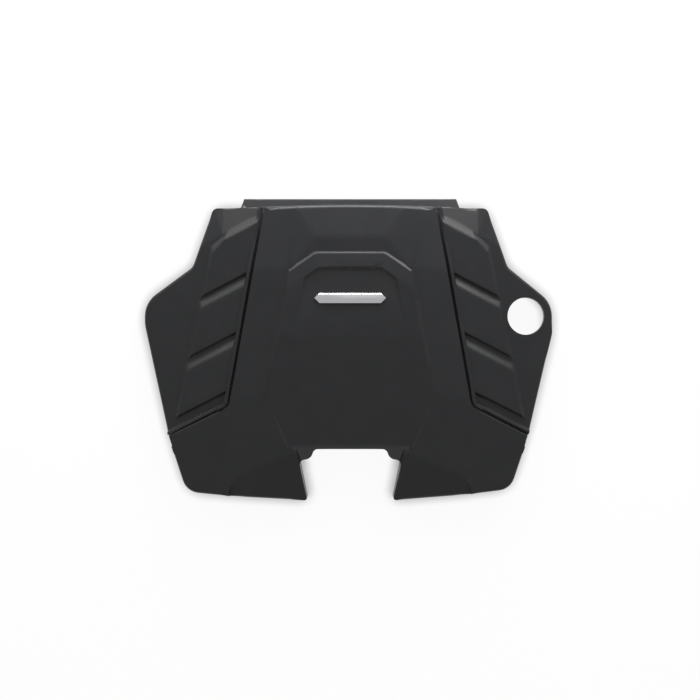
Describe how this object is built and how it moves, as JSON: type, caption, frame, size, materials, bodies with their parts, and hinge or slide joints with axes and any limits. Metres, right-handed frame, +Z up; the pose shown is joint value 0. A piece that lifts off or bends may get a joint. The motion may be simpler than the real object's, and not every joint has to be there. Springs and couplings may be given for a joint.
{
  "type": "engine cover",
  "caption": "Moulded black engine cover with a raised centre shield, louvred side panels, front wings round a notch, an oil filler hole and rubber push-on grommets.",
  "frame": {"origin": "on the styling symmetry axis, level with the lower edge of the shell, near the middle of the outline", "axes": "+X to the right as seen in the picture, where the oil filler hole is, +Y to the rear edge, +Z up out of the visible face"},
  "size_m": [0.6045, 0.4452, 0.0709],
  "materials": {
    "shell_plastic": "fine-grained matt black",
    "badge_metal": "satin silver",
    "grommet_rubber": "dull black"
  },
  "bodies": {
    "root": {"cover_shell": "shell_plastic", "badge": "badge_metal", "grommet_front_left": "grommet_rubber", "grommet_front_right": "grommet_rubber", "grommet_rear_left": "grommet_rubber", "grommet_rear_right": "grommet_rubber"}
  },
  "joints": []
}
